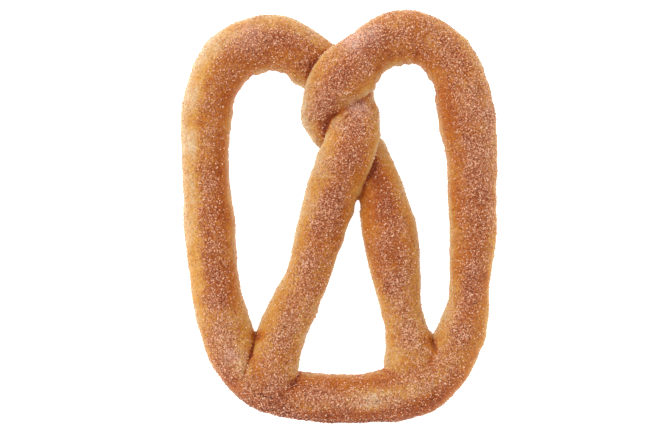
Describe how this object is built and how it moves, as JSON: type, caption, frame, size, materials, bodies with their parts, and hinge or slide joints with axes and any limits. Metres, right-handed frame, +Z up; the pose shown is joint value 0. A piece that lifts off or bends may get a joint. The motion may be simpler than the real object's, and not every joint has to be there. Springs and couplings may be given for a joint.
{
  "type": "soft pretzel",
  "caption": "Cinnamon sugar soft pretzel: a rope of dough looped into tall arches, twisted round itself in the middle, its tips pressed onto the bottom bar",
  "frame": {"origin": "under the middle of the pretzel's outline, on the surface that it lies on", "axes": "+Z up out of the surface that it lies on, +Y from the bottom bar to the arches, +X to the right of someone who looks down with the arches away from them"},
  "size_m": [0.1372, 0.1794, 0.0292],
  "materials": {
    "crust": "matt baked crust under cinnamon sugar"
  },
  "bodies": {
    "root": {"pretzel": "crust"}
  },
  "joints": []
}
